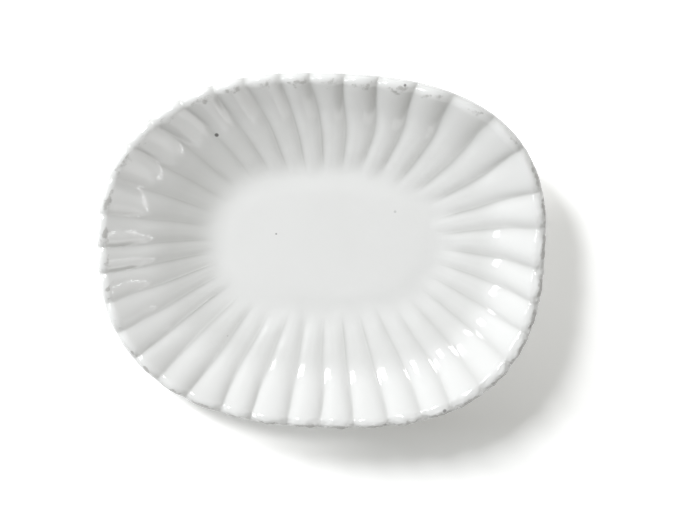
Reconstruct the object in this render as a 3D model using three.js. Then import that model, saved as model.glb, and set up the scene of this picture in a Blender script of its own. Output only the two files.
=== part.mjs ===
// A white glazed, hand-pressed plate: an oblong clay dish whose wall is pressed into flutes. It stands on a
// foot ring that is luted to its underside, and has a coat of glaze on its face, on its back and inside its foot.
// Millimetres, +Z up. The origin is on the surface that the plate stands on, under its middle, and +X runs
// along its length. The outline is a superellipse, and each section of the wall lies along a line to the middle.
import * as THREE from "three";

// Outline and height of the finished plate
const PLATE_LENGTH = 200;
const PLATE_WIDTH = 162;
const PLATE_HEIGHT = 35;
const OUTLINE_POWER = 2.5; // the superellipse's exponent: 2 is an ellipse, and more is squarer

// Clay slab, wall and lip
const WALL_RUN = 56; // level distance from the plate's edge to the flat well
const RIM_SLOPE = 38; // degrees that the wall has turned up by at the rim
// The wall turns up twice: out of the well, and again at a shoulder. Each is given as shares of the wall's run.
const WELL_TURN = { from: 0.02, to: 0.48 };
const SHOULDER = { from: 0.54, to: 0.84 };
const SLAB_THICKNESS = 4.6; // clay under the well
const RIM_THICKNESS = 3.4; // clay in a crease at the rim
const LIP_REACH = 1.6; // how far the rounded lip goes on past the end of the wall
const BACK_REACH = 0.9; // the share by which the lip's back goes on further, so that the edge stays smooth
const LOBE_REACH = 2.4; // how far a lobe's end stands out past its creases, on the face

// Flutes: convex lobes that meet in creases, highest at the rim
const FLUTE_COUNT = 37;
const FLUTE_RISE = 2; // a lobe's crown above its creases at the rim
const WELL_RISE = 1.7; // the same at the well, before the lobes fade
const FLUTE_FADE = 16; // level distance over which the lobes sink into the well
const LOBE_POWER = 2.5; // a lobe's section: 2 is a parabola, and more is flatter on top
const FIRST_CREASE = 0.96; // in flutes from +X, towards +Y
// How the hand that pressed them strayed from even spacing: waves round the rim, their size in flutes and their phase
const FLUTE_STRAY = [
  { waves: 1, flutes: 0.4, degrees: -106 },
  { waves: 3, flutes: 0.1, degrees: -136 },
  { waves: 4, flutes: 0.08, degrees: 103 },
];

// Foot ring and the slip that joins it to the slab
const FOOT_HEIGHT = 4.5;
const FOOT_WIDTH = 6; // at the top, where it is joined
const FOOT_BATTER = 0.8; // how far each side leans in on its way down
const FOOT_EASE = 0.6; // rounding of the standing edges
const FOOT_INSET = 0.5; // from the edge of the flat well to the foot's outer side
const SLIP_THICKNESS = 0.4;

// Coats of glaze
const GLAZE_THICKNESS = 0.6;
const GLAZE_POOL = 0.4; // how much thicker it lies in a crease
const GLAZE_EDGE = 0.25; // thickness that it thins to at the lip
const GLAZE_TO_FOOT = 0.3; // bare gap between a coat and the foot ring
const BARE_LIP = { from: 80, to: 110 }; // degrees round the lip, from its inner side, where the glaze has drawn back

// How finely the curves are cut into flats
const STEPS_PER_FLUTE = 4;
const FACE_STATIONS = [0, 0.16, 0.28, 0.42, 0.58, 0.78, 1]; // shares of the wall's run, from the well to the rim
const BACK_STATIONS = [1, 0.8, 0.6, 0.42, 0.2, 0];
const LIP_FACE_ANGLES = [40, BARE_LIP.from];
const LIP_BACK_ANGLES = [BARE_LIP.to, 145];
const FOOT_COLUMNS = 76;
const OUTLINE_SAMPLES = 3600;

const UNDERSIDE = FOOT_HEIGHT + SLIP_THICKNESS;
const WELL_FACE = UNDERSIDE + SLAB_THICKNESS;
const FULL_TURN = 2 * Math.PI;
const { clamp, degToRad, lerp, smoothstep } = THREE.MathUtils;

// The plan

// A direction from the middle, scaled so that the outline inset by d lies at ((L / 2 - d) x, (W / 2 - d) y)
function planDirection(angle) {
  const bend = (value) => Math.sign(value) * Math.abs(value) ** (2 / OUTLINE_POWER);
  return new THREE.Vector2(bend(Math.cos(angle)), bend(Math.sin(angle)));
}

// A point of the plate from its plan direction, its distance inside the outline and its height
function platePoint(direction, { inset, height }) {
  const x = (PLATE_LENGTH / 2 - inset) * direction.x;
  const y = (PLATE_WIDTH / 2 - inset) * direction.y;
  return new THREE.Vector3(x, y, height);
}

// Length along the rim from +X to each sampled angle
function rimLengths() {
  const rim = (sample) => {
    const angle = (FULL_TURN * sample) / OUTLINE_SAMPLES;
    return platePoint(planDirection(angle), { inset: 0, height: 0 });
  };
  const lengths = [0];
  for (let sample = 1; sample <= OUTLINE_SAMPLES; sample++) {
    lengths.push(lengths[sample - 1] + rim(sample).distanceTo(rim(sample - 1)));
  }
  return lengths;
}

const RIM_LENGTHS = rimLengths();

// The plan direction at a share of the way round the rim
function directionAtShare(share) {
  const wrapped = share - Math.floor(share);
  const wanted = wrapped * RIM_LENGTHS[OUTLINE_SAMPLES];
  const next = RIM_LENGTHS.findIndex((length) => length > wanted);
  const before = RIM_LENGTHS[next - 1];
  const part = (wanted - before) / (RIM_LENGTHS[next] - before);
  return planDirection((FULL_TURN * (next - 1 + part)) / OUTLINE_SAMPLES);
}

// The share of the way round the rim at which a crease stands
function creaseShare(crease) {
  let flutes = crease + FIRST_CREASE;
  for (const stray of FLUTE_STRAY) {
    const turn = (FULL_TURN * stray.waves * crease) / FLUTE_COUNT;
    flutes += stray.flutes * Math.cos(turn + degToRad(stray.degrees));
  }
  return flutes / FLUTE_COUNT;
}

// The columns of the fluted wall: each has a direction and a crown, from 0 in a crease to 1 along a lobe's top
function fluteColumns() {
  const columns = [];
  for (let flute = 0; flute < FLUTE_COUNT; flute++) {
    for (let step = 0; step < STEPS_PER_FLUTE; step++) {
      const across = step / STEPS_PER_FLUTE;
      const share = lerp(creaseShare(flute), creaseShare(flute + 1), across);
      const crown = 1 - Math.abs(2 * across - 1) ** LOBE_POWER;
      columns.push({ direction: directionAtShare(share), crown });
    }
  }
  return columns;
}

// Plain columns, evenly spaced along the rim, for the foot
function footColumns() {
  const columns = [];
  for (let column = 0; column < FOOT_COLUMNS; column++) {
    columns.push({ direction: directionAtShare(column / FOOT_COLUMNS), crown: 0 });
  }
  return columns;
}

// The section

// Unit vectors at the rim, as x inward and y up: out along the wall, and square to it towards the face
const RIM_ALONG = new THREE.Vector2(-Math.cos(degToRad(RIM_SLOPE)), Math.sin(degToRad(RIM_SLOPE)));
const RIM_ACROSS = new THREE.Vector2(Math.sin(degToRad(RIM_SLOPE)), Math.cos(degToRad(RIM_SLOPE)));

function combine(alongPart, acrossPart) {
  return new THREE.Vector2().addScaledVector(RIM_ALONG, alongPart).addScaledVector(RIM_ACROSS, acrossPart);
}

// A place on the rounded lip, from the end of the wall's back, with the direction that its surface faces
function lipPlace(degrees, crown) {
  const angle = degToRad(degrees);
  const half = (RIM_THICKNESS + FLUTE_RISE * crown) / 2;
  const backward = (1 - Math.cos(angle)) / 2;
  const reach = LIP_REACH * (1 + BACK_REACH * backward) + LOBE_REACH * crown * (1 - backward);
  const offset = combine(reach * Math.sin(angle), half * (1 + Math.cos(angle)));
  const facing = combine(Math.sin(angle) / reach, Math.cos(angle) / half).normalize();
  return { offset, facing };
}

// Thickness of the glaze round the lip, thinning from the wall to the bare band
function lipGlaze(degrees, full) {
  const onFace = degrees <= BARE_LIP.from;
  const drawnBack = onFace ? degrees / BARE_LIP.from : (180 - degrees) / (180 - BARE_LIP.to);
  return lerp(full, GLAZE_EDGE, drawnBack);
}

// Where the wall's back ends, so that the glazed lip just reaches the plate's length, width and height
function wallEnd() {
  let outward = 0;
  let upward = 0;
  for (const crown of [0, 1]) {
    for (const degrees of [0, ...LIP_FACE_ANGLES, ...LIP_BACK_ANGLES, 180]) {
      const { offset, facing } = lipPlace(degrees, crown);
      offset.addScaledVector(facing, lipGlaze(degrees, GLAZE_THICKNESS));
      outward = Math.max(outward, -offset.x);
      upward = Math.max(upward, offset.y);
    }
  }
  return { inset: outward, height: PLATE_HEIGHT - upward };
}

const WALL_END = wallEnd();
const WALL_SPAN = WALL_RUN - WALL_END.inset;
const WALL_RISE = WALL_END.height - UNDERSIDE;

// A smooth turn from level to a slope of 1: the height and the slope that it gives at a share of the wall's run
function easedTurn(station, { from, to }) {
  const part = clamp((station - from) / (to - from), 0, 1);
  const past = Math.max(station - to, 0);
  return { rise: (to - from) * part ** 3 * (1 - part / 2) + past, slope: part ** 2 * (3 - 2 * part) };
}

// Tangents of the wall's two slopes: at the rim, and below the shoulder, where it is what gives the wall its height
const RIM_TANGENT = Math.tan(degToRad(RIM_SLOPE));
const LOW_TANGENT = lowTangent();

function lowTangent() {
  const wellRise = easedTurn(1, WELL_TURN).rise;
  const shoulderRise = easedTurn(1, SHOULDER).rise;
  return (WALL_RISE / WALL_SPAN - RIM_TANGENT * shoulderRise) / (wellRise - shoulderRise);
}

// How much of the lobes' height is left at a share of the wall's run
function fluteFade(station) {
  return smoothstep(station * WALL_SPAN, 0, FLUTE_FADE);
}

// The height and slope of the wall's back at a share of its run
function wallCurve(station) {
  const well = easedTurn(station, WELL_TURN);
  const shoulder = easedTurn(station, SHOULDER);
  const steeper = RIM_TANGENT - LOW_TANGENT;
  return {
    rise: WALL_SPAN * (LOW_TANGENT * well.rise + steeper * shoulder.rise),
    slope: LOW_TANGENT * well.slope + steeper * shoulder.slope,
  };
}

// A place on the wall, at a height through its thickness, plus a coat of glaze there
function wallPlace(station, thickness, coat) {
  const { rise, slope } = wallCurve(station);
  const facing = new THREE.Vector2(slope, 1).normalize();
  const out = thickness + coat;
  return {
    inset: WALL_RUN - WALL_SPAN * station + facing.x * out,
    height: UNDERSIDE + rise + facing.y * out,
  };
}

function facePlace(station, crown, glazed) {
  const fade = fluteFade(station);
  const rise = lerp(WELL_RISE, FLUTE_RISE, station) * fade * crown;
  const coat = glazed ? GLAZE_THICKNESS + GLAZE_POOL * fade * (1 - crown) : 0;
  return wallPlace(station, lerp(SLAB_THICKNESS, RIM_THICKNESS, station) + rise, coat);
}

function backPlace(station, glazed) {
  return wallPlace(station, 0, glazed ? -GLAZE_THICKNESS : 0);
}

function lipSurface(degrees, crown, glazed) {
  const { offset, facing } = lipPlace(degrees, crown);
  const onFace = degrees <= BARE_LIP.from;
  const full = GLAZE_THICKNESS + (onFace ? GLAZE_POOL * (1 - crown) : 0);
  if (glazed) offset.addScaledVector(facing, lipGlaze(degrees, full));
  return { inset: WALL_END.inset + offset.x, height: WALL_END.height + offset.y };
}

// Rings of points, and solids made of them

const FLUTED = fluteColumns();
const PLAIN = footColumns();

function ringOf(columns, placeAtCrown) {
  return columns.map(({ direction, crown }) => platePoint(direction, placeAtCrown(crown)));
}

function faceRings(glazed) {
  const wall = FACE_STATIONS.map((station) => ringOf(FLUTED, (crown) => facePlace(station, crown, glazed)));
  const lip = LIP_FACE_ANGLES.map((angle) => ringOf(FLUTED, (crown) => lipSurface(angle, crown, glazed)));
  return [...wall, ...lip];
}

function backRings(glazed) {
  const lip = LIP_BACK_ANGLES.map((angle) => ringOf(FLUTED, (crown) => lipSurface(angle, crown, glazed)));
  const wall = BACK_STATIONS.map((station) => ringOf(FLUTED, () => backPlace(station, glazed)));
  return [...lip, ...wall];
}

// A flat ring of points inside the outline
function levelRing(columns, inset, height) {
  return ringOf(columns, () => ({ inset, height }));
}

// Triangles between two rings. Each quad is cut along its shorter diagonal, so that two coats which share rings
// are cut alike and meet face to face.
function bandTriangles(lower, upper) {
  const triangles = [];
  lower.forEach((a, column) => {
    const next = (column + 1) % lower.length;
    const b = lower[next];
    const c = upper[next];
    const d = upper[column];
    if (a.distanceToSquared(c) < b.distanceToSquared(d)) triangles.push(a, b, c, a, c, d);
    else triangles.push(a, b, d, b, c, d);
  });
  return triangles;
}

function fanTriangles(centre, ring) {
  return ring.flatMap((point, column) => [centre, point, ring[(column + 1) % ring.length]]);
}

function geometryOf(triangles) {
  return new THREE.BufferGeometry().setFromPoints(triangles);
}

function bandsBetween(rings) {
  return rings.slice(1).flatMap((ring, before) => bandTriangles(ring, rings[before]));
}

// A solid like a disc: rings from its top to its underside, closed by a flat fan at each end
function discGeometry(rings, topHeight, underHeight) {
  const top = fanTriangles(new THREE.Vector3(0, 0, topHeight), rings[0]);
  const under = fanTriangles(new THREE.Vector3(0, 0, underHeight), [...rings[rings.length - 1]].reverse());
  return geometryOf([...top, ...bandsBetween(rings), ...under]);
}

// A solid like a hoop: rings that go once round its section
function hoopGeometry(rings) {
  return geometryOf(bandsBetween([...rings, rings[0]]));
}

// The pieces

function clayBodyGeometry() {
  return discGeometry([...faceRings(false), ...backRings(false)], WELL_FACE, UNDERSIDE);
}

function faceGlazeGeometry() {
  const rings = [...faceRings(true), ...faceRings(false).reverse()];
  return discGeometry(rings, WELL_FACE + GLAZE_THICKNESS, WELL_FACE);
}

function backGlazeGeometry() {
  const edge = WALL_RUN + FOOT_INSET - GLAZE_TO_FOOT;
  const outside = [...backRings(true), levelRing(FLUTED, edge, UNDERSIDE - GLAZE_THICKNESS)];
  const inside = [...backRings(false), levelRing(FLUTED, edge, UNDERSIDE)];
  return hoopGeometry([...outside, ...inside.reverse()]);
}

const FOOT_OUTER = WALL_RUN + FOOT_INSET;
const FOOT_INNER = FOOT_OUTER + FOOT_WIDTH;

function recessGlazeGeometry() {
  const edge = FOOT_INNER + GLAZE_TO_FOOT;
  const under = UNDERSIDE - GLAZE_THICKNESS;
  return discGeometry([levelRing(PLAIN, edge, UNDERSIDE), levelRing(PLAIN, edge, under)], UNDERSIDE, under);
}

function lutingSlipGeometry() {
  return hoopGeometry([
    levelRing(PLAIN, FOOT_INNER, UNDERSIDE),
    levelRing(PLAIN, FOOT_OUTER, UNDERSIDE),
    levelRing(PLAIN, FOOT_OUTER, FOOT_HEIGHT),
    levelRing(PLAIN, FOOT_INNER, FOOT_HEIGHT),
  ]);
}

function footRingGeometry() {
  const standing = FOOT_BATTER + FOOT_EASE;
  return hoopGeometry([
    levelRing(PLAIN, FOOT_INNER, FOOT_HEIGHT),
    levelRing(PLAIN, FOOT_OUTER, FOOT_HEIGHT),
    levelRing(PLAIN, FOOT_OUTER + FOOT_BATTER, FOOT_EASE),
    levelRing(PLAIN, FOOT_OUTER + standing, 0),
    levelRing(PLAIN, FOOT_INNER - standing, 0),
    levelRing(PLAIN, FOOT_INNER - FOOT_BATTER, FOOT_EASE),
  ]);
}

// Finishes

function glazeFinish() {
  return new THREE.MeshStandardMaterial({ color: 0xe9e9e6, roughness: 0.12, metalness: 0 });
}

function bareClayFinish() {
  return new THREE.MeshStandardMaterial({ color: 0x57514b, roughness: 0.85, metalness: 0 });
}

function slipFinish() {
  return new THREE.MeshStandardMaterial({ color: 0x635c55, roughness: 0.9, metalness: 0 });
}

function piece(name, geometry, material) {
  geometry.computeVertexNormals();
  const mesh = new THREE.Mesh(geometry, material);
  mesh.name = name;
  return mesh;
}

const firedClay = new THREE.Group();
firedClay.add(piece("clay_body", clayBodyGeometry(), bareClayFinish()));
firedClay.add(piece("luting_slip", lutingSlipGeometry(), slipFinish()));
firedClay.add(piece("foot_ring", footRingGeometry(), bareClayFinish()));

const glaze = new THREE.Group();
glaze.add(piece("face_glaze", faceGlazeGeometry(), glazeFinish()));
glaze.add(piece("back_glaze", backGlazeGeometry(), glazeFinish()));
glaze.add(piece("recess_glaze", recessGlazeGeometry(), glazeFinish()));

const plate = new THREE.Group();
plate.add(firedClay, glaze);

export default plate;
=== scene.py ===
# The looks of a white fluted plate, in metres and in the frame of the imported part: smooth coats of glaze
# over a smooth clay body, a bare clay foot, soft light from the upper left and a camera almost overhead.
import math

import bpy
import numpy as np
from mathutils import Matrix, Vector, noise


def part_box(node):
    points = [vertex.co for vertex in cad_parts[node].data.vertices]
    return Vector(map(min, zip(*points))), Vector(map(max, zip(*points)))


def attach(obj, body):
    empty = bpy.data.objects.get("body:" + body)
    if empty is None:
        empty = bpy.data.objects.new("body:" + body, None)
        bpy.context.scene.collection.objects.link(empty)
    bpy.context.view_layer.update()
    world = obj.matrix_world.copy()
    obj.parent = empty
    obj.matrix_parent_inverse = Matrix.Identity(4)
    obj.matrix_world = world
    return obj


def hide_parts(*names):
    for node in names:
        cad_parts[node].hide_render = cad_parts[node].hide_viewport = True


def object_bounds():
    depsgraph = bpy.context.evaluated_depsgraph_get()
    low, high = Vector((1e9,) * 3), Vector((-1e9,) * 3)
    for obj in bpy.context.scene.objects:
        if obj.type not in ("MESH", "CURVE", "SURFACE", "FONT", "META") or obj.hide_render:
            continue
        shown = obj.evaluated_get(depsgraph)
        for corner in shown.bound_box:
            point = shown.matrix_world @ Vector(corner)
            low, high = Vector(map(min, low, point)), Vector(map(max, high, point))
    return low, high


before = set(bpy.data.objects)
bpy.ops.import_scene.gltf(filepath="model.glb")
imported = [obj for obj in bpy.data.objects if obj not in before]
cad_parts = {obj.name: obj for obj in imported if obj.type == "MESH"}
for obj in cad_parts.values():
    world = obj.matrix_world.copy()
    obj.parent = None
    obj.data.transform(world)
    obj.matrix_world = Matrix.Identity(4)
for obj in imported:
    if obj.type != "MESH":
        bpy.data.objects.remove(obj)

CAD_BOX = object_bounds()
FULL_TURN = 2 * math.pi

# Sizes that the imported part gives
HALF_LENGTH = (CAD_BOX[1].x - CAD_BOX[0].x) / 2
HALF_WIDTH = (CAD_BOX[1].y - CAD_BOX[0].y) / 2
PLATE_HEIGHT = CAD_BOX[1].z
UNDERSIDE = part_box("clay_body")[0].z
SLAB_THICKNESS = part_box("face_glaze")[0].z - UNDERSIDE
GLAZE_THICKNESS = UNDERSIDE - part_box("recess_glaze")[0].z
FOOT_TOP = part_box("foot_ring")[1].z
FOOT_OUTER = HALF_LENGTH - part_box("foot_ring")[1].x

# The wall and lip: the wall turns up twice, each time between two shares of its climb to the lip
OUTLINE_POWER = 2.5
WALL_RUN = 0.056
RIM_SLOPE = math.radians(41.5)
SLOPE_LEAN = math.radians(3)
WELL_TURN = (0.0, 0.56)
SHOULDER = (0.5, 0.9)
RIM_THICKNESS = 0.0034
LIP_REACH = 0.0016
BACK_REACH = 0.9
LOBE_REACH = 0.0024
LIP_SQUARENESS = 0.75

# The share of the lip from which a point is on the wall's back
LIP_END = 0.9999

# How the rim strays from a true superellipse: waves round it, their size in metres and their phase in degrees
RIM_STRAY = ((3, 0.0008, -150), (4, 0.00045, -75), (5, 0.0004, -149))

# Where a side of the rim has its middle, as a share of the rim from +X towards +Y
LEAN_MIDDLE = 0.42
SWEEP_MIDDLE = 0.2
BOLD_MIDDLE = 0.18
# The middle of the painted shade on the left of the low wall
LEFT_SHADE_MIDDLE = 0.45

# The flutes: how high they rise at the lip and at the well, and how they fade into the well
FLUTE_COUNT = 37
LOBE_POWER = 2.2
FLUTE_RISE = 0.002
WELL_RISE = 0.0018
WELL_SINK = 0.6
WELL_DISH = 0.0005
BOLDNESS = 0.5
FLUTE_FADE = 0.016
FADE_VARIETY = 0.010

# The creases: their stray is in waves round the rim, a size in flutes and a phase in degrees
FIRST_CREASE = 0.96
FLUTE_STRAY = ((1, 0.4, -106), (3, 0.1, -136), (4, 0.08, 103))
FLUTE_VARIETY = 0.14
CREASE_WANDER = 0.2
WANDER_PITCH = 2.5
CREASE_SOFTNESS = (0.33, 0.05)
CREASE_SHARPENS = (0.48, 0.95)
LIP_SWEEP = 0.3
SWEEP_CLIMB = (0.5, 1.05)

# The chance values that run round the rim: how many flutes one spans, and what widens it to about -1 to 1
NOISE_FLUTES = 1.5
NOISE_GAIN = 3

# The coats of glaze
GLAZE_POOL = 0.0004
GLAZE_EDGE = 0.00025
COAT_MEETING = math.radians(95)
GLAZE_RIPPLE = 0.00022
DRIP_SHARE = 0.45
LIP_ROUGHNESS = 0.0006
CRUMBLING = 4
SKIN_SEED = 3.0

# Where the glaze has worn thin on the lip, with painted shade on faces turned from the light: how far round
# the lip, over what spread, and the side the light comes from
LIT_SIDE = (-0.59, 0.81)
WEAR_AND_SHADE_TURN = (math.radians(26), math.radians(95))
WEAR_AND_SHADE_SPREAD = 0.6
WEAR_AND_SHADE_START = 0.95
# Painted shade: how squarely a face must turn from the light before the lip's worn grey shows, and how much
# of it shows on the side towards the light
SHADED_FACING = (-0.1, 0.1)
AWAY_START = 0.1
NEAR_WEAR_AND_SHADE = 0.7
AWAY_SIDE = (-0.6, 0.4)

# Square metres that keep a division by the distance from the plate's middle finite there
MIDDLE_GUARD = 0.0001

# Painted shade on the low wall: where it starts, grows and ends, in shares of the climb, and how strong it is
GREY_DELAY = 0.03
WELL_DELAY = 0.3
LEFT_ADVANCE = 0.2
VALLEY_ADVANCE = 0.14
GREY_GROWTH = 0.58
GREY_ENDS = (0.5, 0.8)
LOW_WALL_SHADE = 0.3
LEFT_SHADE = 0.3
BOLD_CLEARS = 0.9

# Dull glaze on the low wall, in shares of the climb
DULL_STARTS = (0.1, 0.3)
DULL_ENDS = (0.44, 0.6)

# How much darker the painted crease shade is on bold flutes, and the angles round the lip between which the
# painted shades end
BOLD_CREASE_SHADE = 0.5
FACE_ENDS = (1.4, 2.8)

# Pinholes and flecks in the face's glaze: where each is, its radius and how dark it is
PINHOLES = (
    ((-0.0479, 0.0516, 0.0209), 0.0012, 0.85),
    ((-0.0227, 0.0043, 0.0101), 0.0006, 0.6),
    ((0.0319, 0.0153, 0.0101), 0.0008, 0.25),
    ((0.0365, 0.0760, 0.0345), 0.0008, 0.7),
    ((-0.0451, -0.0428, 0.0166), 0.0006, 0.2),
    ((0.0223, -0.0469, 0.0162), 0.0006, 0.2),
    ((0.0555, -0.0716, 0.0340), 0.0012, 0.6),
)
PINHOLE_DEPTH = 0.4
PINHOLE_CORE = 0.5

# The foot, and the coat inside it with the spread of the rings on its two sides
FOOT_WIDTH = 0.006
FOOT_BATTER = 0.0008
FOOT_EASE = 0.0006
GLAZE_TO_FOOT = 0.0003
CLAY_ROUGHNESS = 0.00012
CLAY_LUMPS = 0.004
RECESS_TOP = (0.1, 0.4, 0.7)
RECESS_FLAT = (0.85, 0.6, 0.35, 0.1)

# Rows of the section, counted from the middle of the well over the lip to the middle of the underside
SECTION_ENDS = {"start": 0, "well": 8, "wall": 64, "lip": 100, "back": 124, "foot": 128, "recess": 132}

# How finely each mesh is cut: rows of a coat are given for its outside and its inside
FACE_ROWS = (83, 16)
BACK_ROWS = (42, 10)
STEPS_PER_FLUTE = 24
COLUMN_BUNCHING = 0.65
MERGE_DISTANCE = 0.000002
RIM_POINTS = 1440
RIM_SAMPLES = 7201
FOOT_COLUMNS = 360
FOOT_STEPS = 4
STANDING_STEPS = 5
EASE_STEPS = 5
BEAD_STEPS = 6

# Camera and picture
PICTURE_WIDTH = 700
PICTURE_HEIGHT = 525
PLATE_PIXELS = 449.3
PLATE_MIDDLE = (321.7, 255.4)
SENSOR_WIDTH = 36
CAMERA_DISTANCE = 0.75
CAMERA_TILT = math.radians(12.7)
CAMERA_LEAN = math.radians(3)


class Wire:
    """One output of a node. Sums written with it add Math nodes to its tree."""

    def __init__(self, graph, output):
        self.graph = graph
        self.output = output

    def out(self, name):
        return Wire(self.graph, self.output.node.outputs[name])

    def __add__(self, other):
        return self.graph.math("ADD", self, other)

    def __radd__(self, other):
        return self.graph.math("ADD", other, self)

    def __sub__(self, other):
        return self.graph.math("SUBTRACT", self, other)

    def __rsub__(self, other):
        return self.graph.math("SUBTRACT", other, self)

    def __mul__(self, other):
        return self.graph.math("MULTIPLY", self, other)

    def __rmul__(self, other):
        return self.graph.math("MULTIPLY", other, self)

    def __truediv__(self, other):
        return self.graph.math("DIVIDE", self, other)

    def __rtruediv__(self, other):
        return self.graph.math("DIVIDE", other, self)

    def __pow__(self, other):
        return self.graph.math("POWER", self, other)

    def __abs__(self):
        return self.graph.math("ABSOLUTE", self)

    def __gt__(self, other):
        return self.graph.math("GREATER_THAN", self, other)

    def __lt__(self, other):
        return self.graph.math("LESS_THAN", self, other)


class Graph:
    """A node tree that is written as sums and calls."""

    def __init__(self, tree):
        self.tree = tree
        tree.nodes.clear()

    def node(self, kind, settings=None, sockets=None):
        made = self.tree.nodes.new(kind)
        for name, value in (settings or {}).items():
            setattr(made, name, value)
        for key, value in (sockets or {}).items():
            socket = self.socket(made.inputs, key)
            if isinstance(value, Wire):
                self.tree.links.new(value.output, socket)
            else:
                socket.default_value = value
        shown = [output for output in made.outputs if output.enabled]
        return Wire(self, shown[0] if shown else None)

    @staticmethod
    def socket(sockets, key):
        if isinstance(key, int):
            return sockets[key]
        return next(socket for socket in sockets if socket.name == key and socket.enabled)

    def math(self, operation, *values):
        return self.node("ShaderNodeMath", {"operation": operation}, dict(enumerate(values)))

    def clamp(self, value):
        return self.node("ShaderNodeClamp", None, {"Value": value})

    def step(self, value, low, high):
        limits = {"Value": value, "From Min": low, "From Max": high}
        return self.node("ShaderNodeMapRange", {"interpolation_type": "SMOOTHSTEP"}, limits)

    def mix(self, factor, first, second):
        return self.node("ShaderNodeMix", {"data_type": "RGBA"}, {"Factor": factor, "A": first, "B": second})

    def noise(self, place, size, detail, seed):
        sockets = {"Vector": place, "W": seed, "Scale": 1 / size, "Detail": detail}
        return self.node("ShaderNodeTexNoise", {"noise_dimensions": "4D"}, sockets)

    def vector(self, x, y, z):
        return self.node("ShaderNodeCombineXYZ", None, {"X": x, "Y": y, "Z": z})

    def flat_parts(self, vector):
        """The X and Y of a vector."""
        split = self.node("ShaderNodeSeparateXYZ", None, {"Vector": vector})
        return split.out("X"), split.out("Y")

    def attribute(self, name):
        """A value stored on the mesh, for a finish."""
        return self.node("ShaderNodeAttribute", {"attribute_name": name}).out("Fac")

    def stored(self, name):
        """A value stored on the mesh, for a tree that makes meshes."""
        return self.node("GeometryNodeInputNamedAttribute", {"data_type": "FLOAT"}, {"Name": name})

    def store(self, shape, name, value):
        return self.node("GeometryNodeStoreNamedAttribute", {"data_type": "FLOAT", "domain": "POINT"}, {
            "Geometry": shape, "Name": name, "Value": value})

    def inputs(self, kinds):
        for name, kind in kinds.items():
            self.tree.interface.new_socket(name, in_out="INPUT", socket_type=kind)
        first = self.node("NodeGroupInput")
        return {name: first.out(name) for name in kinds}


def blend(first, second, share):
    return first + (second - first) * share


# The section of the wall, for numbers and wires alike

def sine(turn):
    return turn.graph.math("SINE", turn) if isinstance(turn, Wire) else math.sin(turn)


def cosine(turn):
    return turn.graph.math("COSINE", turn) if isinstance(turn, Wire) else math.cos(turn)


def sign(value):
    return value.graph.math("SIGN", value) if isinstance(value, Wire) else math.copysign(1, value)


def root(value):
    return value.graph.math("SQRT", value) if isinstance(value, Wire) else math.sqrt(value)


def limited(value):
    return value.graph.clamp(value) if isinstance(value, Wire) else min(max(value, 0), 1)


def lip_place(turn, crown, coat, rim_slope):
    """How far inside and above the wall's end the coated lip lies, at an angle round it from its face."""
    half = (RIM_THICKNESS + FLUTE_RISE * crown) / 2
    upright = sine(turn)
    level = abs(cosine(turn))
    side = sign(cosine(turn))
    backward = (1 - cosine(turn)) / 2
    along = LIP_REACH * upright ** LIP_SQUARENESS * (1 + BACK_REACH * backward)
    along = along + LOBE_REACH * crown * upright * (1 - backward)
    across = half * (1 + side * level ** LIP_SQUARENESS)
    along_facing = upright ** (2 - LIP_SQUARENESS) / LIP_REACH
    across_facing = side * level ** (2 - LIP_SQUARENESS) / half
    out = coat / root(along_facing * along_facing + across_facing * across_facing)
    along = along + along_facing * out
    across = across + across_facing * out
    inset = across * sine(rim_slope) - along * cosine(rim_slope)
    height = across * cosine(rim_slope) + along * sine(rim_slope)
    return inset, height


def wall_end():
    """Where the back of the wall ends, so that the coated lip just reaches the plate's outline and height."""
    turns = [math.radians(degrees) for degrees in range(0, 181, 5)]
    places = [lip_place(turn, crown, GLAZE_EDGE, RIM_SLOPE) for turn in turns for crown in (0, 1)]
    outward = min(inset for inset, height in places)
    upward = max(height for inset, height in places)
    return -outward, PLATE_HEIGHT - upward


END_INSET, END_HEIGHT = wall_end()
WALL_SPAN = WALL_RUN - END_INSET
WALL_CLIMB = END_HEIGHT - UNDERSIDE


def eased_turn(climb, turn):
    """The rise and slope of a line that turns up by one, smoothly, between two shares of the wall."""
    start, end = turn
    share = limited((climb - start) / (end - start))
    past = limited((climb - end) / (1 - end)) * (1 - end)
    rise = (end - start) * share * share * share * (1 - share / 2) + past
    return rise, share * share * (3 - 2 * share)


def wall_curve(climb, rim_slope):
    """The rise and slope of the wall's back, which turns up from the well and again at its shoulder."""
    first_end = (WELL_TURN[1] - WELL_TURN[0]) / 2 + 1 - WELL_TURN[1]
    second_end = (SHOULDER[1] - SHOULDER[0]) / 2 + 1 - SHOULDER[1]
    steepest = sine(rim_slope) / cosine(rim_slope)
    low = (WALL_CLIMB / WALL_SPAN - steepest * second_end) / (first_end - second_end)
    first_rise, first_slope = eased_turn(climb, WELL_TURN)
    second_rise, second_slope = eased_turn(climb, SHOULDER)
    rise = WALL_SPAN * (low * first_rise + (steepest - low) * second_rise)
    return rise, low * first_slope + (steepest - low) * second_slope


# The fluted clay and its coats: one tree, which sweeps a stretch of the section round the outline

SKIN_SIZES = {
    "Half Length": "NodeSocketFloat",
    "Half Width": "NodeSocketFloat",
    "Flute Rise": "NodeSocketFloat",
    "Coat": "NodeSocketFloat",
    "Ripple": "NodeSocketFloat",
    "Columns": "NodeSocketInt",
    "Rings": "NodeSocketInt",
    "Outer Rows": "NodeSocketInt",
    "Inner Rows": "NodeSocketInt",
    "Section Start": "NodeSocketFloat",
    "Section End": "NodeSocketFloat",
    "Seed": "NodeSocketFloat",
    "Finish": "NodeSocketMaterial",
}


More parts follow.
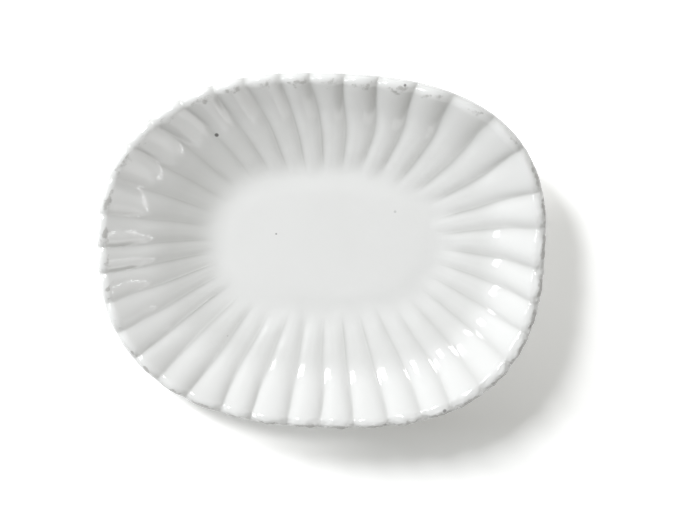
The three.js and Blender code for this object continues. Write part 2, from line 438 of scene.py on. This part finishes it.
def rim_curve(graph, size):
    """The outline as a curve, from which points are taken by their share of its length."""
    circle = graph.node("GeometryNodeCurvePrimitiveCircle", None, {"Resolution": RIM_POINTS, "Radius": 1.0})
    x, y = graph.flat_parts(graph.node("GeometryNodeInputPosition"))

    def bend(value):
        return sign(value) * abs(value) ** (2 / OUTLINE_POWER)

    place = graph.vector(bend(x) * size["Half Length"], bend(y) * size["Half Width"], 0.0)
    return graph.node("GeometryNodeSetPosition", None, {"Geometry": circle, "Position": place})


def section_shares(graph, size, ring):
    """How far along each stretch of the section a ring lies, from 0 to 1, and what follows from that: the
    climb up the wall and down its back, the angle round the lip, and if it is on the coat's outside."""
    outer = size["Outer Rows"]
    inner = size["Inner Rows"]
    inside = (ring > outer + 0.5) * (ring < outer + inner + 1.5)
    there = graph.clamp(ring / outer)
    back = graph.clamp((ring - outer - 1) / graph.math("MAXIMUM", inner, 1.0))
    row = blend(size["Section Start"], size["Section End"], there - back)
    names = list(SECTION_ENDS)
    section = {}
    for before, name in zip(names, names[1:]):
        rows = SECTION_ENDS[name] - SECTION_ENDS[before]
        section[name] = graph.clamp((row - SECTION_ENDS[before]) / rows)
    section["climb"] = section["wall"] - section["back"]
    section["turn"] = section["lip"] * math.pi
    section["outside"] = 1 - inside
    return section


def rim_side(share, middle):
    """1 at the middle of a side of the rim, and 0 from a quarter of the rim away."""
    return share.graph.math("MAXIMUM", cosine((share - middle) * FULL_TURN), 0.0)


def rim_noise(graph, share, depth, seed):
    """A smooth chance value, from about -1 to 1, that changes from flute to flute and with a depth."""
    around = FLUTE_COUNT / FULL_TURN
    place = graph.vector(cosine(share * FULL_TURN) * around, sine(share * FULL_TURN) * around, depth)
    return (graph.noise(place, size=NOISE_FLUTES, detail=1.0, seed=seed) - 0.5) * NOISE_GAIN


def crease_share(graph, size, step, climb):
    """The share of the rim at a count of flutes, which are uneven, swept sideways at the lip, and wander."""
    share = step + FIRST_CREASE
    for waves, flutes_off, degrees in FLUTE_STRAY:
        share = share + flutes_off * cosine(step * (FULL_TURN * waves / FLUTE_COUNT) + math.radians(degrees))
    share = share / FLUTE_COUNT
    near = rim_side(share, SWEEP_MIDDLE)
    sweep = near * near * graph.step(climb, *SWEEP_CLIMB) * LIP_SWEEP
    wander = rim_noise(graph, share, climb * WANDER_PITCH, size["Seed"]) * CREASE_WANDER * climb
    return graph.math("FRACT", share + (sweep + wander) / FLUTE_COUNT)


def flute_place(graph, size, across, climb):
    """At a share of the columns: the share of the rim, the lobe's plain roundness, its crown with its own
    height and softness, how much of the flute is left, and how bold that side's flutes are."""
    flutes = across * FLUTE_COUNT
    late = FADE_VARIETY * (rim_noise(graph, across, 0.0, size["Seed"]) + 1) / 2
    fade = graph.step(climb * WALL_SPAN - late, 0.0, FLUTE_FADE)
    number = graph.math("FLOOR", flutes)
    part = flutes - number
    part = part - fade * sine(part * FULL_TURN) * (COLUMN_BUNCHING / FULL_TURN)
    crest = abs(2 * part - 1)
    chance = graph.node("ShaderNodeTexWhiteNoise", {"noise_dimensions": "2D"}, {
        "Vector": graph.vector(graph.math("FLOORED_MODULO", number, FLUTE_COUNT), size["Seed"], 0.0)})
    variety = 1 + (chance - 0.5) * (2 * FLUTE_VARIETY)
    softness = blend(CREASE_SOFTNESS[0], CREASE_SOFTNESS[1], graph.step(climb, *CREASE_SHARPENS))
    lobe = 1 - crest ** LOBE_POWER
    crown = lobe * variety + LOBE_POWER * softness * graph.math("EXPONENT", (crest - 1) / softness)
    share = crease_share(graph, size, number + part, climb)
    return {"share": share, "lobe": lobe, "crown": crown, "fade": fade, "bold": rim_side(share, BOLD_MIDDLE)}


def coat_depth(graph, size, section, flute):
    """How thick the coat is: most in the creases, least where the coats meet, and 0 on its inside."""
    full = GLAZE_THICKNESS + GLAZE_POOL * flute["fade"] * (1 - flute["lobe"])
    thinning = graph.step(section["turn"], 0.0, COAT_MEETING)
    filling = graph.step(section["turn"], COAT_MEETING, math.pi)
    depth = blend(blend(full, GLAZE_EDGE, thinning), GLAZE_THICKNESS, filling)
    return depth * section["outside"] * size["Coat"]


def wall_thickness(size, section, flute, on_back):
    """The clay's thickness, with the flutes on its face and the well a little dished."""
    climb = section["climb"]
    rise = blend(WELL_RISE, size["Flute Rise"], climb) * (1 + flute["bold"] * BOLDNESS * (1 - climb))
    dish = WELL_DISH * (1 - section["well"] ** 2)
    thickness = blend(SLAB_THICKNESS, RIM_THICKNESS, climb) - dish * (1 - on_back)
    return thickness + rise * flute["fade"] * (flute["crown"] - WELL_SINK * (1 - climb))


def section_place(size, section, flute, coat):
    """How far inside the outline and how high a point of the coated section lies."""
    climb = section["climb"]
    rim_slope = RIM_SLOPE - SLOPE_LEAN * cosine((flute["share"] - LEAN_MIDDLE) * FULL_TURN)
    on_lip = section["lip"] > 0.0
    on_back = section["lip"] > LIP_END
    wall_rise, slope = wall_curve(climb, rim_slope)
    length = root(slope * slope + 1)
    wall_inset = WALL_RUN - WALL_SPAN * climb
    wall_height = UNDERSIDE + wall_rise
    lip_inset, lip_height = lip_place(section["turn"], flute["crown"], coat, rim_slope)
    face_out = (wall_thickness(size, section, flute, on_back) + coat) / length
    back_out = coat / length * -1
    inset = blend(wall_inset + slope * face_out, END_INSET + lip_inset, on_lip)
    inset = blend(inset, wall_inset + slope * back_out, on_back)
    height = blend(wall_height + face_out, END_HEIGHT + lip_height, on_lip)
    height = blend(height, wall_height + back_out, on_back)
    for waves, stray, degrees in RIM_STRAY:
        angle = flute["share"] * (FULL_TURN * waves) + math.radians(degrees)
        inset = inset - stray * cosine(angle) * climb * climb
    inset = inset + section["foot"] * (FOOT_OUTER + FOOT_WIDTH - WALL_RUN)
    return inset, height


def swept_place(graph, size, section, share, inset):
    """The X and Y of a point of the section at a share of the rim."""
    rim = graph.node("GeometryNodeSampleCurve", {"mode": "FACTOR", "use_all_curves": True}, {
        "Curves": rim_curve(graph, size), "Factor": share})
    rim_x, rim_y = graph.flat_parts(rim.out("Position"))
    spread = section["well"] * (1 - section["recess"])
    x = rim_x / size["Half Length"] * (size["Half Length"] - inset) * spread
    y = rim_y / size["Half Width"] * (size["Half Width"] - inset) * spread
    return x, y


def away_from_light(x, y):
    """How squarely a place lies on the side away from the light, where the lip's rubbed glaze and painted
    shade are strongest, from -1 to 1.
    """
    return (y * -LIT_SIDE[1] - x * LIT_SIDE[0]) / root(x * x + y * y + MIDDLE_GUARD)


def lip_wear_and_shade(graph, section, flute, away_side):
    """How much a lobe's lip shows rubbed-thin glaze and painted shade: more, and further round the lip, on
    the side away from the light.
    """
    off_middle = (section["turn"] - blend(WEAR_AND_SHADE_TURN[0], WEAR_AND_SHADE_TURN[1], away_side)) / WEAR_AND_SHADE_SPREAD
    band = graph.math("EXPONENT", off_middle * off_middle * -1)
    wear_and_shade = band * graph.step(section["climb"], WEAR_AND_SHADE_START, 1.0) * flute["lobe"]
    return wear_and_shade * blend(NEAR_WEAR_AND_SHADE, 1.0, away_side)


def face_shades(graph, section, flute, away_side):
    """What the glaze's finish reads from a point, with painted shade on the lip, in the creases and on the
    low wall.
    """
    climb = section["climb"]
    bold = flute["bold"]
    # Painted shade: the low wall is greyed, more on the left, and reaches further towards the well in the
    # valleys
    left = rim_side(flute["share"], LEFT_SHADE_MIDDLE) ** 2
    on_face = 1 - graph.step(section["turn"], *FACE_ENDS)
    valley = flute["fade"] * (1 - flute["lobe"]) * on_face
    start = climb - (1 - section["well"]) * WELL_DELAY + left * LEFT_ADVANCE
    start = start + valley * VALLEY_ADVANCE - GREY_DELAY
    low_wall_shade = graph.step(start, 0.0, GREY_GROWTH) * (1 - graph.step(climb, *GREY_ENDS))
    low_wall_shade = low_wall_shade * (LOW_WALL_SHADE * (1 - BOLD_CLEARS * bold * bold) + LEFT_SHADE * left) * on_face
    return {
        # Worn glaze on the lip, with painted shade on faces turned from the light
        "lip_wear_and_shade": lip_wear_and_shade(graph, section, flute, away_side),
        "lip": sine(section["turn"]),
        # Painted shade in the creases, darker on bold flutes
        "crease_shade": valley * (1 + BOLD_CREASE_SHADE * bold),
        "low_wall_shade": low_wall_shade,
        "dull": graph.step(climb, *DULL_STARTS) * (1 - graph.step(climb, *DULL_ENDS)),
        "outside": section["outside"],
    }


def fluted_tree():
    """Bends a grid into the section swept round the rim, and stores on it what its finish reads."""
    tree = bpy.data.node_groups.new("fluted section", "GeometryNodeTree")
    graph = Graph(tree)
    tree.interface.new_socket("Geometry", in_out="OUTPUT", socket_type="NodeSocketGeometry")
    size = graph.inputs(SKIN_SIZES)
    grid = graph.node("GeometryNodeMeshGrid", None, {
        "Size X": 1.0, "Size Y": 1.0, "Vertices X": size["Columns"] + 1, "Vertices Y": size["Rings"]})
    across, along = graph.flat_parts(grid.out("UV Map"))
    section = section_shares(graph, size, along * (size["Rings"] - 1))
    flute = flute_place(graph, size, across, section["climb"])
    coat = coat_depth(graph, size, section, flute)
    inset, height = section_place(size, section, flute, coat)
    x, y = swept_place(graph, size, section, flute["share"], inset)
    away_side = graph.step(away_from_light(x, y), *AWAY_SIDE)
    shape = grid.out("Mesh")
    for name, value in face_shades(graph, section, flute, away_side).items():
        shape = graph.store(shape, name, value)
    place = graph.vector(x, y, height)
    shape = graph.node("GeometryNodeSetPosition", None, {"Geometry": shape, "Position": place})
    shape = graph.node("GeometryNodeFlipFaces", None, {"Mesh": shape})
    shape = graph.node("GeometryNodeMergeByDistance", None, {"Geometry": shape, "Distance": MERGE_DISTANCE})
    shape = graph.node("GeometryNodeSetShadeSmooth", None, {"Geometry": shape})
    return tree, graph, size, shape


def finish_skin(tree, graph, size, shape):
    """Keeps the lip's rubbed glaze and its painted shade to faces turned from the light, ripples the coat,
    crumbles the lip and ends the tree.
    """
    place = graph.node("GeometryNodeInputPosition")
    facing = graph.node("GeometryNodeInputNormal")
    outside = graph.stored("outside")
    x, y = graph.flat_parts(place)
    facing_x, facing_y = graph.flat_parts(facing)
    # Painted shade: the lip's worn grey is kept to faces turned from the light
    sideways = x * facing_y - y * facing_x
    turned = sideways * (y * LIT_SIDE[0] - x * LIT_SIDE[1]) / (x * x + y * y + MIDDLE_GUARD)
    away = facing_x * -LIT_SIDE[0] - facing_y * LIT_SIDE[1]
    turned = graph.math("MAXIMUM", turned, away - AWAY_START)
    wear_and_shade = graph.stored("lip_wear_and_shade") * graph.step(turned, *SHADED_FACING) * outside
    shape = graph.store(shape, "lip_wear_and_shade", wear_and_shade)

    crumbling = LIP_ROUGHNESS * (1 + CRUMBLING * graph.clamp(away_from_light(x, y)))
    swell = graph.noise(place, size=0.016, detail=1.0, seed=size["Seed"]) - 0.5
    drips = graph.noise(place, size=0.006, detail=1.0, seed=size["Seed"]) - 0.5
    chips = graph.noise(place, size=0.0028, detail=2.0, seed=size["Seed"]) - 0.5
    ripple = (swell + drips * DRIP_SHARE) * size["Ripple"]
    amount = (ripple + chips * graph.stored("lip") * crumbling) * outside
    offset = graph.node("ShaderNodeVectorMath", {"operation": "SCALE"}, {"Vector": facing, "Scale": amount})
    shape = graph.node("GeometryNodeSetPosition", None, {"Geometry": shape, "Offset": offset})
    shape = graph.node("GeometryNodeRealizeInstances", None, {"Geometry": shape})
    shape = graph.node("GeometryNodeSetMaterial", None, {"Geometry": shape, "Material": size["Finish"]})
    graph.node("NodeGroupOutput", None, {"Geometry": shape})
    return tree


def shaped(name, tree, sizes):
    """A plain mesh object that holds what the tree makes from these sizes."""
    piece = bpy.data.objects.new(name, bpy.data.meshes.new(name))
    bpy.context.scene.collection.objects.link(piece)
    modifier = piece.modifiers.new("shape", "NODES")
    modifier.node_group = tree
    for socket in tree.interface.items_tree:
        if socket.in_out == "INPUT":
            modifier[socket.identifier] = sizes[socket.name]
    made = piece.evaluated_get(bpy.context.evaluated_depsgraph_get())
    mesh = bpy.data.meshes.new_from_object(made)
    piece.modifiers.remove(modifier)
    piece.data = mesh
    mesh.name = name
    return piece


def skin_sizes(start, end, rows, coat, finish, hoop=False):
    """The tree's inputs for a stretch of the section, with rows on the outside and, if a coat, the inside.
    A hoop has one ring more, which closes it."""
    outer_rows, inner_rows = rows
    return {
        "Half Length": HALF_LENGTH,
        "Half Width": HALF_WIDTH,
        "Flute Rise": FLUTE_RISE,
        "Coat": float(coat),
        "Ripple": GLAZE_RIPPLE,
        "Columns": FLUTE_COUNT * STEPS_PER_FLUTE,
        "Rings": outer_rows + 1 + (inner_rows + 1 if inner_rows else 0) + (1 if hoop else 0),
        "Outer Rows": outer_rows,
        "Inner Rows": inner_rows,
        "Section Start": float(start),
        "Section End": float(end),
        "Seed": SKIN_SEED,
        "Finish": finish,
    }


# Foot ring, slip and the coat inside the foot

def rim_directions(count):
    """Directions of points that lie evenly along the outline, scaled as the outline's half sizes are."""
    turns = np.linspace(0, FULL_TURN, RIM_SAMPLES)
    x = np.sign(np.cos(turns)) * np.abs(np.cos(turns)) ** (2 / OUTLINE_POWER)
    y = np.sign(np.sin(turns)) * np.abs(np.sin(turns)) ** (2 / OUTLINE_POWER)
    steps = np.hypot(np.diff(x) * HALF_LENGTH, np.diff(y) * HALF_WIDTH)
    lengths = np.concatenate([[0], np.cumsum(steps)])
    wanted = np.arange(count) / count * lengths[-1]
    return np.interp(wanted, lengths, x), np.interp(wanted, lengths, y)


def linked(name, points, faces, finish):
    """A mesh object in the scene, made from points and faces."""
    mesh = bpy.data.meshes.new(name)
    mesh.from_pydata(points, [], faces)
    mesh.materials.append(finish)
    piece = bpy.data.objects.new(name, mesh)
    bpy.context.scene.collection.objects.link(piece)
    return piece


def swept(name, rings, finish, closed=True):
    """Rings of (inset, height, spread), each joined to the next and, if closed, the last to the first."""
    x, y = rim_directions(FOOT_COLUMNS)
    points = []
    for inset, height, spread in rings:
        ring_x = (HALF_LENGTH - inset) * spread * x
        ring_y = (HALF_WIDTH - inset) * spread * y
        points.extend(np.stack([ring_x, ring_y, np.full(FOOT_COLUMNS, height)], axis=1).tolist())
    faces = []
    for ring in range(len(rings) if closed else len(rings) - 1):
        here = ring * FOOT_COLUMNS
        there = (ring + 1) % len(rings) * FOOT_COLUMNS
        for column in range(FOOT_COLUMNS):
            after = (column + 1) % FOOT_COLUMNS
            faces.append((here + column, here + after, there + after, there + column))
    if not closed:
        last = (len(rings) - 1) * FOOT_COLUMNS
        faces.append(tuple(reversed(range(FOOT_COLUMNS))))
        faces.append(tuple(range(last, last + FOOT_COLUMNS)))
    piece = linked(name, points, faces, finish)
    piece.data.shade_smooth()
    return piece


def roughened(piece, amount, size):
    """Moves each point a little, as a hand-made edge strays, and never below what the plate stands on."""
    for vertex in piece.data.vertices:
        vertex.co += noise.noise_vector(vertex.co / size) * amount
        vertex.co.z = max(vertex.co.z, 0.0)
    return piece


def straight(first, last, steps):
    """The rings between two rings, in even steps."""
    return [tuple(a + (b - a) * step / steps for a, b in zip(first, last)) for step in range(1, steps)]


def mirrored(rings):
    """The same rings on the foot's other side, in reverse."""
    both_sides = 2 * FOOT_OUTER + FOOT_WIDTH
    return [(both_sides - inset, height, spread) for inset, height, spread in reversed(rings)]


def foot_ring(finish):
    """The coil that the plate stands on, narrower below than above, with its lower edges eased."""
    outer_top = (FOOT_OUTER, FOOT_TOP, 1.0)
    inner_top = (FOOT_OUTER + FOOT_WIDTH, FOOT_TOP, 1.0)
    flat_end = inner_top[0] - FOOT_BATTER - FOOT_EASE
    inner_edge = [(flat_end + FOOT_EASE * math.cos(a), FOOT_EASE * (1 - math.sin(a)), 1.0)
                  for a in np.linspace(0, math.pi / 2, EASE_STEPS + 1)]
    outer_edge = mirrored(inner_edge)
    rings = [outer_top, *straight(outer_top, inner_top, FOOT_STEPS), inner_top]
    rings += [*straight(inner_top, inner_edge[0], FOOT_STEPS), *inner_edge]
    rings += [*straight(inner_edge[-1], outer_edge[0], STANDING_STEPS), *outer_edge]
    rings += straight(outer_edge[-1], outer_top, FOOT_STEPS)
    return roughened(swept("foot", rings, finish), CLAY_ROUGHNESS, CLAY_LUMPS)


def slip_bead(finish):
    """The slip squeezed out of the joint, proud of the foot by half its own thickness."""
    half = (UNDERSIDE - FOOT_TOP) / 2
    outer = [(FOOT_OUTER - half * math.sin(a), FOOT_TOP + half * (1 - math.cos(a)), 1.0)
             for a in np.linspace(0, math.pi, BEAD_STEPS + 1)]
    return swept("slip", outer + mirrored(outer), finish)


def recess_coat(finish):
    """The coat inside the foot, even and rounded at its edge."""
    edge = FOOT_OUTER + FOOT_WIDTH + GLAZE_TO_FOOT
    bulge = []
    for angle in np.linspace(0, math.pi / 2, EASE_STEPS + 1):
        inset = edge + GLAZE_THICKNESS * (1 - math.sin(angle))
        bulge.append((inset, UNDERSIDE - GLAZE_THICKNESS * (1 - math.cos(angle)), 1.0))
    top = [(edge, UNDERSIDE, share) for share in RECESS_TOP]
    flat = [(bulge[-1][0], bulge[-1][1], share) for share in RECESS_FLAT]
    return swept("recess_coat", top + bulge + flat, finish, closed=False)


# Finishes: their colours, and how strongly each is mixed in

GLAZE_WHITE = (0.86, 0.86, 0.85, 1)
# The grey that the painted shade on the low wall and the cloudy tone mix towards, and how strongly the
# painted shade mixes in
SHADE_AND_CLOUD_GREY = (0.59, 0.59, 0.57, 1)
LOW_WALL_STRENGTH = 0.85
CLOUD_STRENGTH = 0.2
# Painted shade in the creases
CREASE_SHADE_GREY = (0.45, 0.45, 0.43, 1)
CREASE_STRENGTH = 0.32
CREASE_POWER = 1.4
# Worn glaze on the lip, with painted shade on faces turned from the light
WORN_AND_SHADED_GREY = (0.36, 0.35, 0.33, 1)
WORN_AND_SHADED_STRENGTH = 0.6
WORN_AND_SHADED_EDGE = (0.4, 0.95)
WORN_AND_SHADED_LIMIT = (0.1, 0.3)
FLECK_STRENGTH = 2.6
PINHOLE_COLOUR = (0.06, 0.055, 0.05, 1)
CLAY_COLOURS = ((0.075, 0.066, 0.055, 1), (0.15, 0.13, 0.11, 1))
SLIP_COLOURS = ((0.10, 0.09, 0.075, 1), (0.17, 0.15, 0.13, 1))
CLAY_CLOUD = 0.6
CLAY_EDGE = (0.35, 0.65)
SPECK_COLOUR = (0.03, 0.025, 0.02, 1)
SPECK_STRENGTH = 0.7
SPECK_EDGE = (0.66, 0.72)
CLOUD_RELIEF = 0.5

# Roughness: of the cleanest glaze and of dry clay, and what each mark adds to it
GLAZE_POLISH = 0.07
CLOUD_POLISH = 0.05
WORN_POLISH = 0.1
DULL_POLISH = 0.15
CLAY_POLISH = 0.75
GRAIN_POLISH = 0.2


def new_finish(name):
    material = bpy.data.materials.new(name)
    material.use_nodes = True
    return material, Graph(material.node_tree)


def relief(graph, height, strength, distance):
    return graph.node("ShaderNodeBump", None, {"Strength": strength, "Distance": distance, "Height": height})


def surface(graph, sockets):
    shader = graph.node("ShaderNodeBsdfPrincipled", None, sockets)
    graph.node("ShaderNodeOutputMaterial", None, {"Surface": shader})


def pinhole(graph, place, centre, radius):
    """1 inside a pinhole and 0 outside. Height counts for less, so that it reaches through the coat."""
    flat = (1, 1, PINHOLE_DEPTH)
    there = graph.node("ShaderNodeVectorMath", {"operation": "MULTIPLY"}, {0: place, 1: flat})
    middle = (centre[0], centre[1], centre[2] * PINHOLE_DEPTH)
    away = graph.node("ShaderNodeVectorMath", {"operation": "DISTANCE"}, {0: there, 1: middle}).out("Value")
    return 1 - graph.step(away, radius * PINHOLE_CORE, radius)


def white_glaze():
    """Opaque white glaze, glossy and cloudy, with painted shade on the low wall and in the creases, and
    rubbed grey on the lip's edge with painted shade where it turns from the light.
    """
    material, graph = new_finish("white glaze")
    place = graph.node("ShaderNodeTexCoord").out("Object")
    wear_and_shade = graph.attribute("lip_wear_and_shade")
    cloud = graph.noise(place, size=0.03, detail=3.0, seed=1.0)
    fleck = graph.noise(place, size=0.0028, detail=6.0, seed=2.0)
    peel = graph.noise(place, size=0.0022, detail=2.0, seed=3.0)
    # Painted shade on the low wall, mixed with the glaze's cloudy tone
    shade_and_cloud = graph.attribute("low_wall_shade") * LOW_WALL_STRENGTH + cloud * CLOUD_STRENGTH
    colour = graph.mix(shade_and_cloud, GLAZE_WHITE, SHADE_AND_CLOUD_GREY)
    # Painted shade in the creases
    crease = graph.attribute("crease_shade") ** CREASE_POWER
    colour = graph.mix(crease * CREASE_STRENGTH, colour, CREASE_SHADE_GREY)
    # The lip's worn glaze, with painted shade on faces turned from the light
    worn_and_shaded = graph.step(wear_and_shade + (fleck - 0.5) * FLECK_STRENGTH, *WORN_AND_SHADED_EDGE) * graph.step(wear_and_shade, *WORN_AND_SHADED_LIMIT)
    colour = graph.mix(worn_and_shaded * WORN_AND_SHADED_STRENGTH, colour, WORN_AND_SHADED_GREY)
    for centre, radius, dark in PINHOLES:
        colour = graph.mix(pinhole(graph, place, centre, radius) * dark, colour, PINHOLE_COLOUR)
    polish = GLAZE_POLISH + CLOUD_POLISH * cloud + WORN_POLISH * worn_and_shaded + DULL_POLISH * graph.attribute("dull")
    bump = relief(graph, peel, strength=0.12, distance=0.0002)
    surface(graph, {"Base Color": colour, "Roughness": polish, "Normal": bump, "IOR": 1.5})
    return material


def bare_clay(name, dark, light):
    """Fired clay, dry and grained, with dark iron specks."""
    material, graph = new_finish(name)
    place = graph.node("ShaderNodeTexCoord").out("Object")
    cloud = graph.noise(place, size=0.012, detail=4.0, seed=4.0)
    grain = graph.noise(place, size=0.0007, detail=3.0, seed=5.0)
    speck = graph.step(graph.noise(place, size=0.0016, detail=1.0, seed=6.0), *SPECK_EDGE)
    lightness = graph.step(cloud * CLAY_CLOUD + grain * (1 - CLAY_CLOUD), *CLAY_EDGE)
    colour = graph.mix(lightness, dark, light)
    colour = graph.mix(speck * SPECK_STRENGTH, colour, SPECK_COLOUR)
    bump = relief(graph, grain + cloud * CLOUD_RELIEF, strength=0.6, distance=0.0003)
    surface(graph, {"Base Color": colour, "Roughness": CLAY_POLISH + GRAIN_POLISH * grain, "Normal": bump})
    return material


# Floor, light and camera

AMBIENT = 0.2
AMBIENT_COLOUR = (1, 1, 0.95, 1)
FLOOR_COLOUR = 0.98
FLOOR_REACH = 20

# The glow that the floor shows: towards the right and below the plate, at the ends of the shadow, and far off
SHADOW_GLOW = ((0.05, 0.05, 0.04, 1), (0.36, 0.36, 0.35, 1))
GLOW_TOWARDS = (0.97, 0.25)
GLOW_REACH = (-0.033, 0.167)
BELOW_PLATE = (0.09, 0.14)
END_GLOW = (0.6, 0.6, 0.59, 1)
BESIDE_PLATE = (-0.03, 0.06)
CLEAR_OF_RIM = (1.16, 1.27)
ABOVE_PLATE = (0.005, 0.04)
FAR_GLOW = (0.75, 0.75, 0.74, 1)
FAR_OFF = (5.0, 12.0)


def seen_rays(graph):
    """1 for the rays that show the background: from the camera, in reflections and through glass."""
    path = graph.node("ShaderNodeLightPath")
    seen = graph.math("MAXIMUM", path.out("Is Camera Ray"), path.out("Is Glossy Ray"))
    return graph.math("MAXIMUM", seen, path.out("Is Transmission Ray"))


def studio_world():
    """A white background that gives only a little light of its own."""
    world = bpy.data.worlds.new("studio")
    world.use_nodes = True
    bpy.context.scene.world = world
    graph = Graph(world.node_tree)
    light = graph.node("ShaderNodeBackground", None, {"Color": AMBIENT_COLOUR, "Strength": AMBIENT})
    white = graph.node("ShaderNodeBackground", None, {"Color": (1, 1, 1, 1), "Strength": 1.0})
    both = graph.node("ShaderNodeMixShader", None, {0: seen_rays(graph), 1: light, 2: white})
    graph.node("ShaderNodeOutputWorld", None, {"Surface": both})


def floor_glow(graph):
    """The colour of the light that a bright room would put back on each part of the floor."""
    x, y = graph.flat_parts(graph.node("ShaderNodeTexCoord").out("Object"))
    across = x * GLOW_TOWARDS[0] + y * GLOW_TOWARDS[1]
    below = graph.step(y * -1, *BELOW_PLATE)
    glow = graph.mix(graph.math("MAXIMUM", graph.step(across, *GLOW_REACH), below), *SHADOW_GLOW)
    outward = root((x / HALF_LENGTH) ** 2 + (y / HALF_WIDTH) ** 2)
    beside = graph.step(x * -1, *BESIDE_PLATE) * graph.step(outward, *CLEAR_OF_RIM)
    above = graph.step(y, *ABOVE_PLATE)
    glow = graph.mix(graph.math("MAXIMUM", beside, above), glow, END_GLOW)
    return graph.mix(graph.step(outward, *FAR_OFF), glow, FAR_GLOW)


def floor():
    """A white floor. Its glow shows to the rays that see it, and lights nothing."""
    material, graph = new_finish("pale floor")
    grey = (FLOOR_COLOUR, FLOOR_COLOUR, FLOOR_COLOUR, 1)
    lit = graph.node("ShaderNodeBsdfDiffuse", None, {"Color": grey})
    glow = graph.node("ShaderNodeEmission", None, {"Color": floor_glow(graph), "Strength": 1.0})
    glowing = graph.node("ShaderNodeAddShader", None, {0: lit, 1: glow})
    both = graph.node("ShaderNodeMixShader", None, {0: seen_rays(graph), 1: lit, 2: glowing})
    graph.node("ShaderNodeOutputMaterial", None, {"Surface": both})
    signs = ((-1, -1), (1, -1), (1, 1), (-1, 1))
    corners = [(x * FLOOR_REACH, y * FLOOR_REACH, 0) for x, y in signs]
    piece = linked("floor", corners, [(0, 1, 2, 3)], material)


def lamp(name, azimuth, elevation, distance, width, height, power, colour=(1, 1, 1)):
    """An oblong lamp that faces the plate, from a direction in degrees: azimuth from +X towards +Y."""
    light = bpy.data.lights.new(name, "AREA")
    light.shape = "RECTANGLE"
    light.size = width
    light.size_y = height
    light.energy = power
    light.color = colour
    turn = math.radians(azimuth)
    rise = math.radians(elevation)
    towards = Vector((math.cos(rise) * math.cos(turn), math.cos(rise) * math.sin(turn), math.sin(rise)))
    item = bpy.data.objects.new(name, light)
    item.rotation_euler = towards.to_track_quat("Z", "Y").to_euler()
    item.location = towards * distance
    bpy.context.scene.collection.objects.link(item)


def lamps():
    """The key at the upper left, a window at the left, and pale windows that fill from the lower right."""
    lamp("key", azimuth=123.5, elevation=43, distance=1.8,
         width=0.36, height=0.42, power=24.5, colour=(0.975, 0.987, 1))
    lamp("side window", azimuth=168, elevation=30, distance=1.5,
         width=0.36, height=0.26, power=6.1, colour=(0.94, 0.97, 1))
    lamp("near window", azimuth=-34, elevation=20, distance=1.5, width=1.2, height=0.5, power=2.5)
    lamp("far window", azimuth=-62, elevation=16, distance=1.5, width=1.3, height=0.4, power=2.3)
    lamp("window top", azimuth=-28, elevation=29.5, distance=1.45, width=1.0, height=0.025, power=0.9)


def camera():
    """A camera whose picture holds the plate at the photograph's place and size."""
    data = bpy.data.cameras.new("camera")
    data.sensor_width = SENSOR_WIDTH
    scale = 2 * HALF_LENGTH / PLATE_PIXELS
    data.lens = data.sensor_width * CAMERA_DISTANCE / (PICTURE_WIDTH * scale)
    back = Vector((math.tan(CAMERA_LEAN), math.tan(CAMERA_TILT), 1)).normalized()
    up = (Vector((0, 1, 0)) - back * back.y).normalized()
    right = up.cross(back)
    middle = Vector((0, 0, PLATE_HEIGHT))
    aim = middle + right * (PICTURE_WIDTH / 2 - PLATE_MIDDLE[0]) * scale
    aim -= up * (PICTURE_HEIGHT / 2 - PLATE_MIDDLE[1]) * scale
    item = bpy.data.objects.new("camera", data)
    place = aim + back * CAMERA_DISTANCE
    item.matrix_world = Matrix.Translation(place) @ Matrix((right, up, back)).transposed().to_4x4()
    bpy.context.scene.collection.objects.link(item)
    bpy.context.scene.camera = item


def dress(piece, slot, *nodes):
    """Hides the solids that a piece stands for and sets it on the body that it rides. The slot is not used.
    """
    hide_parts(*nodes)
    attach(piece, "root")


def fluted_pieces(glaze, clay):
    """The two fluted coats, which meet on the lip, and the clay that they cover."""
    tree = finish_skin(*fluted_tree())
    meeting = blend(SECTION_ENDS["wall"], SECTION_ENDS["lip"], COAT_MEETING / math.pi)
    foot_rows = SECTION_ENDS["foot"] - SECTION_ENDS["back"]
    foot_edge = (FOOT_OUTER - GLAZE_TO_FOOT - WALL_RUN) / (FOOT_OUTER + FOOT_WIDTH - WALL_RUN)
    back_end = SECTION_ENDS["back"] + foot_rows * foot_edge
    last = SECTION_ENDS["recess"]
    face_sizes = skin_sizes(0, meeting, rows=FACE_ROWS, coat=1, finish=glaze)
    back_sizes = skin_sizes(meeting, back_end, rows=BACK_ROWS, coat=1, finish=glaze, hoop=True)
    clay_sizes = skin_sizes(0, last, rows=(last // 2, 0), coat=0, finish=clay)
    dress(shaped("face_coat", tree, face_sizes), "glaze", "face_glaze")
    dress(shaped("back_coat", tree, back_sizes), "glaze", "back_glaze")
    dress(shaped("clay", tree, clay_sizes), "clay", "clay_body")


def main():
    bpy.context.scene.view_settings.view_transform = "Standard"
    glaze = white_glaze()
    clay = bare_clay("bare clay", *CLAY_COLOURS)
    slip = bare_clay("fired slip", *SLIP_COLOURS)
    fluted_pieces(glaze, clay)
    dress(foot_ring(clay), "clay", "foot_ring")
    dress(slip_bead(slip), "slip", "luting_slip")
    dress(recess_coat(glaze), "glaze", "recess_glaze")
    studio_world()
    floor()
    lamps()
    camera()


main()
